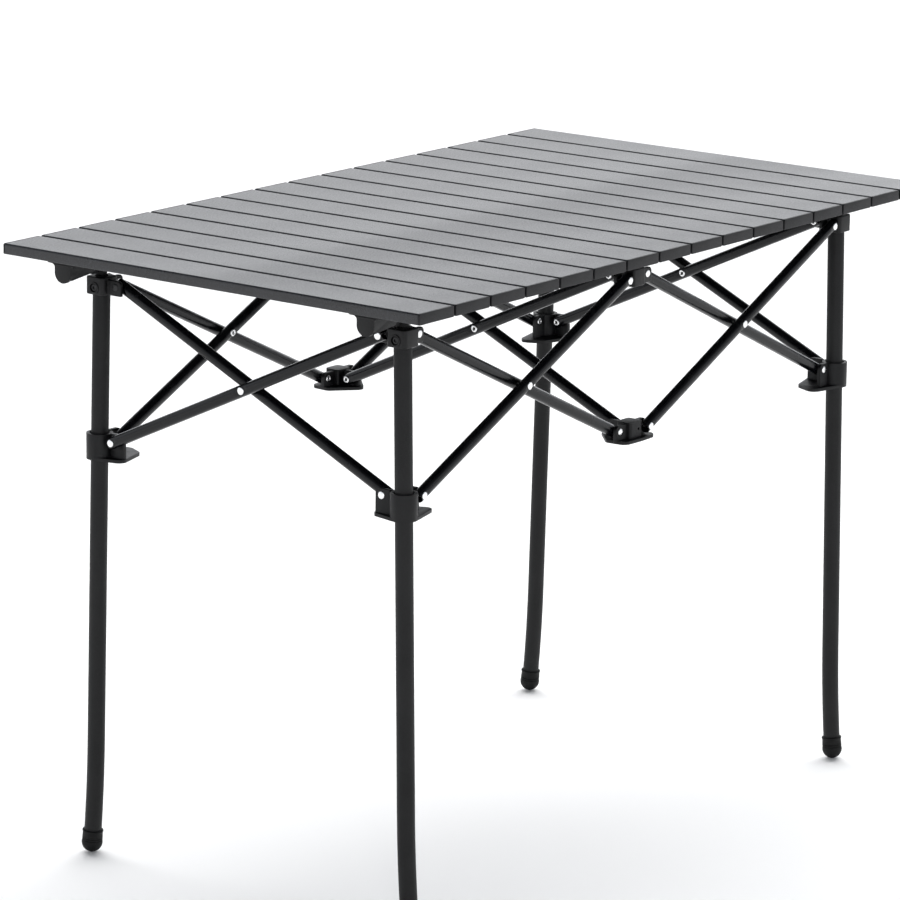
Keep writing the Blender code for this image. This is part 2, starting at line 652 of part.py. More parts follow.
def main():
    clear_scene()
    anodised = make_material("anodised_aluminium", (0.20, 0.205, 0.22), 0.42, 0.85)
    powder_coat = make_material("powder_coat_black", (0.028, 0.028, 0.031), 0.62, 0.1)
    gloss_black = make_material("gloss_black_tube", (0.012, 0.013, 0.016), 0.25, 0.2)
    nylon = make_material("black_nylon", (0.018, 0.018, 0.021), 0.5, 0.0)
    rubber = make_material("black_rubber", (0.014, 0.014, 0.014), 0.8, 0.0)
    build_slats(anodised)
    build_bars(gloss_black)
    for side, sy in (("front", -1), ("rear", 1)):
        build_mid_top_hub(f"mid_hub_top_{side}", sy, nylon)
        build_mid_low_hub(f"mid_hub_low_{side}", sy, nylon)
    for corner, sx, sy in CORNERS:
        build_bracket(f"bracket_{corner}", sx, sy, nylon)
        build_latch(f"latch_{corner}", sx, sy, nylon)
        build_cap(f"leg_cap_{corner}", sx, sy, nylon)
        build_collar(f"collar_{corner}", sx, sy, nylon)
        build_leg(f"leg_{corner}", sx, sy, powder_coat)
        build_foot(f"foot_{corner}", sx, sy, rubber)


main()
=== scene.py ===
"""Looks of the folding side table: detailed slats, plugs, tubes, hubs, rivets, latches and their materials.

Everything is in metres in the frame of the CAD part: X along the table's long side, Y along the slats,
+Z up, origin on the floor under the middle of the top.
"""
import json
import math

import bmesh
import bpy
from mathutils import Matrix, Vector


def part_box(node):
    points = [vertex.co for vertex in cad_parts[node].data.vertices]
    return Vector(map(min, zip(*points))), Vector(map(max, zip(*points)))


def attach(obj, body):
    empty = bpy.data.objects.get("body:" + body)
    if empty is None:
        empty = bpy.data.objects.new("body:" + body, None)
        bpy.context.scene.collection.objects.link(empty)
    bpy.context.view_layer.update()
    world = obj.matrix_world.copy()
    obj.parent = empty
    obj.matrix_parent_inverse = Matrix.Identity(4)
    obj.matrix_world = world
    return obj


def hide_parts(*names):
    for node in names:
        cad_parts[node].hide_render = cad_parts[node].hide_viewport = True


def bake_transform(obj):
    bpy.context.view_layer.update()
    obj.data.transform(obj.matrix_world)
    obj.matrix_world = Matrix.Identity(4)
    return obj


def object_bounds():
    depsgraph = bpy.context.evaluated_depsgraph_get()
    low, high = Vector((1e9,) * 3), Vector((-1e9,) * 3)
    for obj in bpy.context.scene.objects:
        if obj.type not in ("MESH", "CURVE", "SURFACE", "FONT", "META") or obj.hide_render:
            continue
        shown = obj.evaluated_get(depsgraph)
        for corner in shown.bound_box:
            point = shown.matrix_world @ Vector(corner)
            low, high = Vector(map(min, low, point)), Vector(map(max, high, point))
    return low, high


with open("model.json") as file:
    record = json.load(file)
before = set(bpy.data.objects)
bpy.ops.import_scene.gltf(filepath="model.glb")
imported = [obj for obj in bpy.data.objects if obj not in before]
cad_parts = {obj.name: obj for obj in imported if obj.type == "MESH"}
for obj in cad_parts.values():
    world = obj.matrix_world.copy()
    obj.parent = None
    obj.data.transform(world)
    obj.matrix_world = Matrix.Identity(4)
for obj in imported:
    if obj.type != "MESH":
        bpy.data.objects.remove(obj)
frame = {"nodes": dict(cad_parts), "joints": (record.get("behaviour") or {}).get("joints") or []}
cad_low, cad_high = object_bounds()

# ---------------------------------------------------------------- dimensions, as in the CAD part
TOP_WIDTH = cad_high.y - cad_low.y
TOP_HEIGHT = cad_high.z
SLAT_COUNT = sum(name.startswith("slat_") for name in frame["nodes"])
SLAT_LOW, SLAT_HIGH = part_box("slat_01")
SLAT_WIDTH = SLAT_HIGH.x - SLAT_LOW.x
SLAT_THICKNESS = SLAT_HIGH.z - SLAT_LOW.z
SLAT_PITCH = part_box("slat_02")[0].x - SLAT_LOW.x
SLAT_UNDERSIDE = TOP_HEIGHT - SLAT_THICKNESS
SLAT_WALL = 0.0014
SLAT_LIP = 0.0095
SHOULDER_RADIUS = 0.0022
SOLE_RADIUS = 0.0010
PLUG_FLANGE = 0.0026
PLUG_ROUND = 0.0009
PLUG_TONGUE = 0.0110

JOINTS = {joint["name"]: joint for joint in frame["joints"]}
COLUMN_X = abs(JOINTS["leg_front_left_lean"]["pos_m"][0])
COLUMN_Y = abs(JOINTS["leg_front_left_lean"]["pos_m"][1])
LEG_PIN_Z = JOINTS["leg_front_left_lean"]["pos_m"][2]
UPPER_PIVOT_Z = JOINTS["frame_fold"]["pos_m"][2]
LOWER_PIVOT_Z = JOINTS["collar_front_left_pivot"]["pos_m"][2]
PIVOT_REACH = abs(JOINTS["frame_fold"]["pos_m"][0])
GAP = 0.0003

BAR_RADIUS = 0.0065
BAR_WALL = 0.0012
BAR_OFFSET = 0.0070
BAR_OVERHANG = 0.0045
RIVET_SHANK = 0.0021
RIVET_HEAD = 0.0041
RIVET_RISE = 0.0012

LEG_RADIUS = 0.0095
LEG_WALL = 0.0012
LEG_LEAN = 0.0212
LEG_KICK = 0.0050
LEG_BEND_Z = 0.130
LEG_TOP_Z = 0.6405
FOOT_RADIUS = 0.0115
FOOT_HEIGHT = 0.0260

CAP_HALF = 0.0125
CAP_CORNER = 0.0045
CAP_BOTTOM_Z = 0.6253
CAP_TOP_Z = 0.6445
CAP_SOCKET_RADIUS = 0.0101
NECK_RADIUS = 0.0060
BOSS_RADIUS = 0.0065
BOSS_HEIGHT = 0.0010
CAP_SCREW = (0.0038, 0.0014, 0.0013)       # radius, rise and recess of the head
COLLAR_RADIUS = 0.0145
COLLAR_BORE = 0.0111
COLLAR_BOTTOM_Z = 0.4448
COLLAR_TOP_Z = 0.4732
FLANGE_THICKNESS = 0.0035
FLANGE_END_RADIUS = 0.0088
COLLAR_FLANGE_ENDS = ((0.0375, 0.0), (0.0300, 0.0150), (0.0, 0.0235))
MID_FLANGE_RADIUS = 0.0168
MID_FLANGE_ENDS = ((0.0215, 0.0060), (0.0205, -0.0070), (0.0, 0.0260))
MID_LOW_BOTTOM_Z = 0.4548
MID_LOW_TOP_Z = 0.4755
LUG_THICKNESS = 0.0044
LUG_REACH = 0.0300
LUG_RISE = 0.0070
MID_HALF_X = 0.0110
MID_HALF_Y = 0.0095

PLATE_THICKNESS = 0.0030
PLATE_INNER = 0.0120
PLATE_OUTER = 0.0620
PLATE_HALF_WIDTH = 0.0230
BRACKET_SCREW = (0.0036, 0.0014, 0.0010)   # radius, rise and recess of the head
BRACKET_SCREW_OUTS = (0.0340, 0.0540)      # from the column's axis towards the table's end
BRACKET_SCREW_SIDES = (-0.0175, 0.0175)
SCREW_SINK = 0.0018        # how deep a bracket screw is sunk, so the lever swings past its head
SCREW_WELL_RADIUS = 0.0040
LATCH_PIVOT = 0.0220
LATCH_PIN_RADIUS = 0.0030
LATCH_PIN_LENGTH = 0.0095
LATCH_HEAD_RADIUS = 0.0050
LATCH_HEAD_HEIGHT = 0.0015
LATCH_HUB_RADIUS = 0.0075
LATCH_DEPTH = 0.0114
JAW_CLEAR = 0.0065
JAW_WALL = 0.0040
JAW_REACH = 0.0060
JAW_DEPTH = 0.0165
WEB_OUTER = 0.0165
WEB_SIDE = 0.0015
ARM_HALF_WIDTH = 0.0095
ARM_START = 0.0240
ARM_START_DEPTH = 0.0124
ARM_END_DEPTH = 0.0164
ARM_RIB = 0.0018
ARM_BAYS = ((0.0325, 0.0445), (0.0460, 0.0570))
FIN_THICKNESS = 0.0035
FIN_HALF_WIDTH = 0.0110
FIN_FILLET = 0.0035
FIN_DEPTH = 0.0197

PLATE_TOP = SLAT_UNDERSIDE - GAP
PLATE_UNDERSIDE = PLATE_TOP - PLATE_THICKNESS
NECK_TOP_Z = PLATE_UNDERSIDE - GAP
MID_NECK_TOP_Z = SLAT_UNDERSIDE - GAP

CORNERS = (("front_left", -1, -1), ("rear_left", -1, 1), ("front_right", 1, -1), ("rear_right", 1, 1))
X_AXIS, Y_AXIS, Z_AXIS = Vector((1, 0, 0)), Vector((0, 1, 0)), Vector((0, 0, 1))


# ---------------------------------------------------------------- materials

class Nodes:
    """Small helper that adds and links shader nodes."""

    def __init__(self, name):
        self.material = bpy.data.materials.new(name)
        self.material.use_nodes = True
        self.tree = self.material.node_tree
        self.shader = self.tree.nodes["Principled BSDF"]
        self.coords = self.tree.nodes.new("ShaderNodeTexCoord")

    def add(self, kind, **values):
        node = self.tree.nodes.new(kind)
        for key, value in values.items():
            setattr(node, key, value)
        return node

    def link(self, out, into):
        self.tree.links.new(out, into)

    def noise(self, scale, detail=4.0, stretch=(1, 1, 1), rough=0.55):
        mapping = self.add("ShaderNodeMapping")
        mapping.inputs["Scale"].default_value = stretch
        self.link(self.coords.outputs["Object"], mapping.inputs["Vector"])
        noise = self.add("ShaderNodeTexNoise")
        noise.inputs["Scale"].default_value = scale
        noise.inputs["Detail"].default_value = detail
        noise.inputs["Roughness"].default_value = rough
        self.link(mapping.outputs["Vector"], noise.inputs["Vector"])
        return noise.outputs["Fac"]

    def ramp(self, value, low, high, start, end):
        """Value mapped from start..end onto low..high, clamped."""
        node = self.add("ShaderNodeMapRange")
        node.inputs["From Min"].default_value = start
        node.inputs["From Max"].default_value = end
        node.inputs["To Min"].default_value = low
        node.inputs["To Max"].default_value = high
        self.link(value, node.inputs["Value"])
        return node.outputs["Result"]

    def mix(self, factor, first, second):
        """Colour mix. first and second are colours or sockets."""
        node = self.add("ShaderNodeMix", data_type="RGBA")
        self.link(factor, node.inputs["Factor"])
        for index, value in ((6, first), (7, second)):
            if isinstance(value, tuple):
                node.inputs[index].default_value = (*value, 1.0)
            else:
                self.link(value, node.inputs[index])
        return node.outputs[2]

    def bump(self, height, distance, strength=1.0, normal=None):
        node = self.add("ShaderNodeBump")
        node.inputs["Distance"].default_value = distance
        node.inputs["Strength"].default_value = strength
        self.link(height, node.inputs["Height"])
        if normal is not None:
            self.link(normal, node.inputs["Normal"])
        return node.outputs["Normal"]


def coated_aluminium(name, dark, light, roughness):
    """Charcoal anodised extrusion: blasted grain, faint draw lines along Y and soft mottling."""
    n = Nodes(name)
    mottle = n.noise(7.0, 3.0)
    streaks = n.noise(700.0, 3.0, (1, 0.012, 1))
    grain = n.noise(520.0, 4.0)
    tone = n.mix(n.ramp(mottle, 0.0, 1.0, 0.35, 0.65), dark, light)
    lined = n.mix(n.ramp(streaks, 0.0, 0.6, 0.45, 0.75), tone, tuple(c * 2.2 for c in light))
    speckled = n.mix(n.ramp(grain, 0.0, 0.8, 0.50, 0.72), lined, tuple(c * 3.5 for c in light))
    n.link(speckled, n.shader.inputs["Base Color"])
    uneven = n.ramp(mottle, -0.022, 0.022, 0.36, 0.64)
    fine = n.ramp(grain, roughness - 0.07, roughness + 0.07, 0.34, 0.66)
    total = n.add("ShaderNodeMath", operation="ADD")
    n.link(uneven, total.inputs[0])
    n.link(fine, total.inputs[1])
    n.link(total.outputs["Value"], n.shader.inputs["Roughness"])
    n.link(n.bump(streaks, 0.00003, 0.35, n.bump(grain, 0.00012, 0.5)), n.shader.inputs["Normal"])
    n.shader.inputs["IOR"].default_value = 1.52
    return n.material


def powder_coat(name):
    """Matt textured powder coat of the legs."""
    n = Nodes(name)
    mottle = n.noise(22.0, 4.0)
    grain = n.noise(1700.0, 3.0)
    tone = n.mix(n.ramp(mottle, 0.0, 1.0, 0.35, 0.65), (0.0050, 0.0050, 0.0053), (0.0085, 0.0085, 0.0088))
    speck = n.mix(n.ramp(grain, 0.0, 0.8, 0.55, 0.75), tone, (0.030, 0.030, 0.030))
    n.link(speck, n.shader.inputs["Base Color"])
    n.link(n.ramp(grain, 0.46, 0.62, 0.3, 0.7), n.shader.inputs["Roughness"])
    n.link(n.bump(grain, 0.00018, 0.7), n.shader.inputs["Normal"])
    n.shader.inputs["IOR"].default_value = 1.33
    return n.material


def gloss_paint(name):
    """Gloss black paint of the scissor tubes, with slight orange peel and a little dust."""
    n = Nodes(name)
    peel = n.noise(330.0, 2.0)
    dust = n.noise(60.0, 6.0)
    tone = n.mix(n.ramp(dust, 0.0, 1.0, 0.50, 0.80), (0.0012, 0.0014, 0.0022), (0.0045, 0.0047, 0.0058))
    n.link(tone, n.shader.inputs["Base Color"])
    n.link(n.ramp(dust, 0.17, 0.30, 0.4, 0.75), n.shader.inputs["Roughness"])
    n.link(n.bump(peel, 0.00006, 0.35), n.shader.inputs["Normal"])
    n.shader.inputs["IOR"].default_value = 1.35
    return n.material


def moulded_nylon(name, dark=(0.0025, 0.0025, 0.0029), light=(0.0055, 0.0055, 0.0061)):
    """Black glass-filled nylon with a spark-eroded skin."""
    n = Nodes(name)
    skin = n.noise(900.0, 3.0)
    flow = n.noise(45.0, 4.0, (1, 1, 0.35))
    n.link(n.mix(n.ramp(flow, 0.0, 1.0, 0.35, 0.7), dark, light), n.shader.inputs["Base Color"])
    n.link(n.ramp(skin, 0.38, 0.54, 0.3, 0.7), n.shader.inputs["Roughness"])
    n.link(n.bump(skin, 0.00009, 0.6), n.shader.inputs["Normal"])
    n.shader.inputs["IOR"].default_value = 1.34
    return n.material


def soft_rubber(name):
    """Black rubber of the feet, dusty in its pores."""
    n = Nodes(name)
    pores = n.noise(1200.0, 4.0)
    dust = n.noise(70.0, 5.0)
    tone = n.mix(n.ramp(dust, 0.0, 1.0, 0.45, 0.75), (0.0022, 0.0022, 0.0022), (0.0085, 0.0083, 0.0080))
    n.link(tone, n.shader.inputs["Base Color"])
    n.link(n.ramp(pores, 0.50, 0.72, 0.3, 0.7), n.shader.inputs["Roughness"])
    n.link(n.bump(pores, 0.00010, 0.7), n.shader.inputs["Normal"])
    n.shader.inputs["IOR"].default_value = 1.30
    return n.material


def bright_metal(name, color, roughness, metallic=1.0):
    """Plated rivets and screws with fine turning marks."""
    n = Nodes(name)
    marks = n.noise(700.0, 3.0)
    stain = n.noise(160.0, 4.0)
    dull = tuple(c * 0.80 for c in color)
    n.link(n.mix(n.ramp(stain, 0.0, 1.0, 0.45, 0.8), color, dull), n.shader.inputs["Base Color"])
    n.link(n.ramp(marks, roughness - 0.06, roughness + 0.10, 0.3, 0.7), n.shader.inputs["Roughness"])
    n.link(n.bump(marks, 0.00004, 0.4), n.shader.inputs["Normal"])
    n.shader.inputs["Metallic"].default_value = metallic
    return n.material


def braided_cord(name):
    """Black braided cover of the elastic cord."""
    n = Nodes(name)
    wave = n.add("ShaderNodeTexWave", wave_type="BANDS", bands_direction="DIAGONAL")
    wave.inputs["Scale"].default_value = 900.0
    n.link(n.coords.outputs["Object"], wave.inputs["Vector"])
    n.link(n.mix(wave.outputs["Fac"], (0.008, 0.008, 0.008), (0.040, 0.040, 0.042)),
           n.shader.inputs["Base Color"])
    n.link(n.bump(wave.outputs["Fac"], 0.0002, 0.8), n.shader.inputs["Normal"])
    n.shader.inputs["Roughness"].default_value = 0.85
    return n.material


def floor_material(name):
    """Plain pale studio floor."""
    n = Nodes(name)
    cloud = n.noise(0.6, 2.0)
    n.link(n.mix(n.ramp(cloud, 0.0, 1.0, 0.3, 0.7), (0.90, 0.90, 0.90), (0.92, 0.92, 0.92)),
           n.shader.inputs["Base Color"])
    n.shader.inputs["Roughness"].default_value = 0.9
    return n.material


SLAT_COAT = coated_aluminium("slat_coat", (0.0040, 0.0043, 0.0056), (0.0075, 0.0078, 0.0098), 0.34)
PLUG_PLASTIC = moulded_nylon("plug_plastic", (0.0055, 0.0055, 0.0064), (0.0095, 0.0095, 0.0108))
LEG_COAT = powder_coat("leg_powder_coat")
TUBE_PAINT = gloss_paint("scissor_tube_paint")
HUB_NYLON = moulded_nylon("hub_nylon")
FOOT_RUBBER = soft_rubber("foot_rubber")
# Matt black rubber on the hub necks, partly painted shade: its black stands in for the deep shade under the
# top.
NECK_RUBBER_AND_SHADE = soft_rubber("neck_rubber_and_shade")
RIVET_METAL = bright_metal("rivet_metal", (0.92, 0.92, 0.92), 0.22)
SCREW_METAL = bright_metal("screw_metal", (0.012, 0.012, 0.013), 0.38, 0.3)
CORD_BRAID = braided_cord("cord_braid")


# ---------------------------------------------------------------- mesh helpers

def mesh_from(bm, name):
    bmesh.ops.recalc_face_normals(bm, faces=bm.faces)
    mesh = bpy.data.meshes.new(name)
    bm.to_mesh(mesh)
    bm.free()
    return mesh


def circle(radius, count, centre=(0.0, 0.0), start=0.0, sweep=2 * math.pi):
    """Points on a full circle, or on an arc when sweep is less than a turn."""
    full = abs(sweep) >= 2 * math.pi - 1e-6
    steps = count if full else count - 1
    angles = [start + sweep * i / steps for i in range(count)]
    return [(centre[0] + radius * math.cos(a), centre[1] + radius * math.sin(a)) for a in angles]


def rounded_rectangle(half_u, half_v, radius, segments=6):
    points = []
    for quarter, (su, sv) in enumerate(((1, 1), (-1, 1), (-1, -1), (1, -1))):
        centre = (su * (half_u - radius), sv * (half_v - radius))
        points += circle(radius, segments + 1, centre, quarter * math.pi / 2, math.pi / 2)
    return points


def prism(outline, u, v, origin, depth):
    """Closed solid: a flat outline along axes u and v from origin, extruded by the vector depth."""
    bm = bmesh.new()
    origin, u, v = Vector(origin), Vector(u), Vector(v)
    face = bm.faces.new([bm.verts.new(origin + u * a + v * b) for a, b in outline])
    grown = bmesh.ops.extrude_face_region(bm, geom=[face])
    moved = [item for item in grown["geom"] if isinstance(item, bmesh.types.BMVert)]
    bmesh.ops.translate(bm, verts=moved, vec=Vector(depth))
    return mesh_from(bm, "prism")


def box(low, high):
    outline = [(low[0], low[1]), (high[0], low[1]), (high[0], high[1]), (low[0], high[1])]
    return prism(outline, X_AXIS, Y_AXIS, (0, 0, low[2]), (0, 0, high[2] - low[2]))


def rod(start, end, radius, sides=40):
    start, end = Vector(start), Vector(end)
    axis = (end - start).normalized()
    side = axis.orthogonal().normalized()
    return prism(circle(radius, sides), side, axis.cross(side), start, end - start)


def lathe(profile, origin, axis, sides=40):
    """Closed turned solid. profile is (radius, height) from the bottom's centre to the top's centre."""
    origin, axis = Vector(origin), Vector(axis).normalized()
    u = axis.orthogonal().normalized()
    v = axis.cross(u)
    bm = bmesh.new()
    rings = []
    for radius, height in profile:
        centre = origin + axis * height
        if radius < 1e-6:
            rings.append([bm.verts.new(centre)])
        else:
            rings.append([bm.verts.new(centre + u * a + v * b) for a, b in circle(radius, sides)])
    for first, second in zip(rings, rings[1:]):
        for i in range(sides):
            j = (i + 1) % sides
            corners = [first[i % len(first)], first[j % len(first)],
                       second[j % len(second)], second[i % len(second)]]
            unique = list(dict.fromkeys(corners))
            if len(unique) > 2:
                bm.faces.new(unique)
    for ring in (rings[0], rings[-1]):
        if len(ring) > 1:
            bm.faces.new(ring)
    return mesh_from(bm, "lathe")


def combine(base, tool, operation):
    base_obj = bpy.data.objects.new("base", base)
    tool_obj = bpy.data.objects.new("tool", tool)
    for obj in (base_obj, tool_obj):
        bpy.context.scene.collection.objects.link(obj)
    modifier = base_obj.modifiers.new("cut", "BOOLEAN")
    modifier.operation = operation
    modifier.object = tool_obj
    graph = bpy.context.evaluated_depsgraph_get()
    result = bpy.data.meshes.new_from_object(base_obj.evaluated_get(graph))
    for obj in (base_obj, tool_obj):
        bpy.data.objects.remove(obj, do_unlink=True)
    for mesh in (base, tool):
        bpy.data.meshes.remove(mesh)
    return result


def join(base, *tools):
    for tool in tools:
        base = combine(base, tool, "UNION")
    return base


def cut(base, *tools):
    for tool in tools:
        base = combine(base, tool, "DIFFERENCE")
    return base


def soften(mesh, width, segments=3, angle=40):
    """The mesh with its edges rounded."""
    bm = bmesh.new()
    bm.from_mesh(mesh)
    bmesh.ops.dissolve_limit(bm, angle_limit=math.radians(0.5), verts=bm.verts, edges=bm.edges)
    bmesh.ops.remove_doubles(bm, verts=bm.verts, dist=0.00002)
    bm.to_mesh(mesh)
    bm.free()
    obj = bpy.data.objects.new("soften", mesh)
    bpy.context.scene.collection.objects.link(obj)
    modifier = obj.modifiers.new("round", "BEVEL")
    modifier.width = width
    modifier.segments = segments
    modifier.limit_method = "ANGLE"
    modifier.angle_limit = math.radians(angle)
    modifier.use_clamp_overlap = True
    modifier.miter_outer = "MITER_ARC"
    graph = bpy.context.evaluated_depsgraph_get()
    result = bpy.data.meshes.new_from_object(obj.evaluated_get(graph))
    bpy.data.objects.remove(obj, do_unlink=True)
    bpy.data.meshes.remove(mesh)
    return result


def piece(name, mesh, material, body, replaced=None, matrix=None, angle=38):
    """A finished piece that rides on a body, takes the given material as its finish and may replace a CAD
    node.
    """
    if not mesh.materials:
        mesh.materials.append(material)
        mesh.shade_smooth()
        mesh.set_sharp_from_angle(angle=math.radians(angle))
    obj = bpy.data.objects.new(name, mesh)
    bpy.context.scene.collection.objects.link(obj)
    if matrix is not None:
        obj.matrix_world = matrix
    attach(obj, body)
    if replaced:
        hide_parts(replaced)
    return obj


# ---------------------------------------------------------------- table top

def slat_centre_x(number):
    return (number - (SLAT_COUNT + 1) / 2) * SLAT_PITCH


def slat_profile(inset=0.0):
    """Outer outline of a slat in X and Z, top face at z = 0. Narrow strips keep its flats shaded flat."""
    half, depth = SLAT_WIDTH / 2 - inset, SLAT_THICKNESS - inset
    shoulder, sole = SHOULDER_RADIUS - inset, SOLE_RADIUS
    top = -inset
    strip = 0.0004
    right = [(half, top - shoulder - strip)]
    right += circle(shoulder, 7, (half - shoulder, top - shoulder), 0, math.pi / 2)
    right += [(half - shoulder - strip, top)]
    left = [(-x, z) for x, z in reversed(right)]
    low_left = circle(sole, 4, (-half + sole, -depth + sole), math.pi, math.pi / 2)
    low_right = circle(sole, 4, (half - sole, -depth + sole), 1.5 * math.pi, math.pi / 2)
    return right, left, low_left, low_right


def channel_profile():
    """Wall outline of the extrusion: an open channel with inward lips and two ribs under the top."""
    right, left, low_left, low_right = slat_profile()
    half, depth = SLAT_WIDTH / 2, SLAT_THICKNESS
    wall, lip = SLAT_WALL, half - SLAT_WALL - SLAT_LIP
    inner, ceiling, floor = half - wall, -wall, -depth + wall
    fillet = 0.0008
    rib_x, rib_half, rib_drop = 0.0085, 0.0006, 0.0026
    inside = [(-lip, -depth), (-lip, floor)]
    inside += circle(fillet, 4, (-inner + fillet, floor + fillet), 1.5 * math.pi, -math.pi / 2)
    inside += circle(fillet, 4, (-inner + fillet, ceiling - fillet), math.pi, -math.pi / 2)
    for x in (-rib_x, rib_x):
        inside += [(x - rib_half, ceiling), (x - rib_half, ceiling - rib_drop),
                   (x + rib_half, ceiling - rib_drop), (x + rib_half, ceiling)]
    inside += circle(fillet, 4, (inner - fillet, ceiling - fillet), math.pi / 2, -math.pi / 2)
    inside += circle(fillet, 4, (inner - fillet, floor + fillet), 0, -math.pi / 2)
    inside += [(lip, floor), (lip, -depth)]
    return right + left + low_left + inside + low_right


def slat_mesh():
    length = TOP_WIDTH - 2 * PLUG_FLANGE
    return prism(channel_profile(), X_AXIS, Z_AXIS, (0, -length / 2, 0), (0, length, 0))


def plug_mesh():
    """Moulded end plug: a flange in the slat's outline and a tongue inside it."""
    right, left, low_left, low_right = slat_profile()
    flange = prism(right + left + low_left + low_right, X_AXIS, Z_AXIS, (0, 0, 0), (0, PLUG_FLANGE, 0))
    flange = soften(flange, PLUG_ROUND, 5, 30)
    half = SLAT_WIDTH / 2 - SLAT_WALL - GAP
    ceiling, floor = -SLAT_WALL - 0.0029, -SLAT_THICKNESS + SLAT_WALL + GAP
    tongue = prism([(-half, floor), (half, floor), (half, ceiling), (-half, ceiling)], X_AXIS, Z_AXIS,
                   (0, -PLUG_TONGUE, 0), (0, PLUG_TONGUE + 0.0002, 0))
    return join(flange, tongue)


def build_top():
    slat, plug = slat_mesh(), plug_mesh()
    for number in range(1, SLAT_COUNT + 1):
        name = f"slat_{number:02d}"
        place = Matrix.Translation((slat_centre_x(number), 0, TOP_HEIGHT))
        piece(f"{name}_extrusion", slat, SLAT_COAT, name, name, place, 30)
        for side, turn in (("front", math.pi), ("rear", 0.0)):
            shift = Matrix.Translation((0, TOP_WIDTH / 2 - PLUG_FLANGE, 0))
            piece(f"{name}_plug_{side}", plug, PLUG_PLASTIC, name,
                  matrix=place @ Matrix.Rotation(turn, 4, "Z") @ shift)


def cord_mesh(x, y):
    """Short bare stretch of elastic cord across one gap."""
    z = TOP_HEIGHT - SLAT_THICKNESS * 0.5
    reach = 0.0060
    steps = 8
    bm = bmesh.new()
    rings = []
    for i in range(steps + 1):
        centre = Vector((x - reach + 2 * reach * i / steps, y, z))
        rings.append([bm.verts.new(centre + Y_AXIS * a + Z_AXIS * b) for a, b in circle(0.0015, 12)])
    for first, second in zip(rings, rings[1:]):
        for i in range(12):
            bm.faces.new((first[i], first[(i + 1) % 12], second[(i + 1) % 12], second[i]))
    bm.faces.new(rings[0])
    bm.faces.new(rings[-1])
    return mesh_from(bm, "cord")


def build_cords():
    """Two elastic cords through all the slats, shown where they cross the gaps."""
    for number in range(1, SLAT_COUNT):
        x = (slat_centre_x(number) + slat_centre_x(number + 1)) / 2
        for side, y in (("front", -TOP_WIDTH * 0.32), ("rear", TOP_WIDTH * 0.32)):
            mesh = cord_mesh(x, y)
            mesh.materials.append(CORD_BRAID)
            mesh.shade_smooth()
            obj = bpy.data.objects.new(f"elastic_cord_{side}_{number:02d}", mesh)
            bpy.context.scene.collection.objects.link(obj)
            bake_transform(obj)


# ---------------------------------------------------------------- legs and feet

def leg_offset(z):
    bend = max(0.0, (LEG_BEND_Z - z) / LEG_BEND_Z)
    return LEG_LEAN * (LEG_PIN_Z - z) + LEG_KICK * bend * bend


def leg_slope(z):
    bend = max(0.0, (LEG_BEND_Z - z) / LEG_BEND_Z)
    return LEG_LEAN + 2 * LEG_KICK * bend / LEG_BEND_Z


def leg_frame(sx, sy, z):
    point = Vector((sx * COLUMN_X, sy * (COLUMN_Y + leg_offset(z)), z))
    along = Vector((0, -sy * leg_slope(z), 1)).normalized()
    return point, X_AXIS, along.cross(X_AXIS)


def swept_tube(stations, radius, wall, sides=36):
    """Open-ended tube through (point, u, v) stations, with its rims rounded over."""
    bm = bmesh.new()

    def ring(station, r, shift):
        point, u, v = station
        centre = point + u.cross(v).normalized() * shift
        return [bm.verts.new(centre + u * a + v * b) for a, b in circle(r, sides)]

    def skin(first, second):
        for i in range(sides):
            j = (i + 1) % sides
            bm.faces.new((first[i], first[j], second[j], second[i]))

    rim = wall / 2
    sign = 1.0 if (stations[1][0] - stations[0][0]).dot(stations[0][1].cross(stations[0][2])) > 0 else -1.0
    arc = [(math.cos(a), math.sin(a)) for a in (math.pi / 4, math.pi / 2, 3 * math.pi / 4)]
    loop = [ring(s, radius, 0.0) for s in stations]
    loop += [ring(stations[-1], radius - rim + rim * c, sign * rim * s * 0.8) for c, s in arc]
    loop += [ring(s, radius - wall, 0.0) for s in reversed(stations)]
    loop += [ring(stations[0], radius - rim - rim * c, -sign * rim * s * 0.8) for c, s in arc]
    for first, second in zip(loop, loop[1:] + loop[:1]):
        skin(first, second)
    return mesh_from(bm, "tube")


def build_legs():
    bend_steps = 14
    for corner, sx, sy in CORNERS:
        heights = [LEG_TOP_Z, 0.45, 0.30, LEG_BEND_Z]
        fall = (FOOT_RADIUS - LEG_BEND_Z) / bend_steps
        heights += [LEG_BEND_Z + fall * i for i in range(1, bend_steps + 1)]
        tube = swept_tube([leg_frame(sx, sy, z) for z in heights], LEG_RADIUS, LEG_WALL)
        piece(f"leg_{corner}_tube", tube, LEG_COAT, f"leg_{corner}", f"leg_{corner}")
        build_foot(corner, sx, sy)


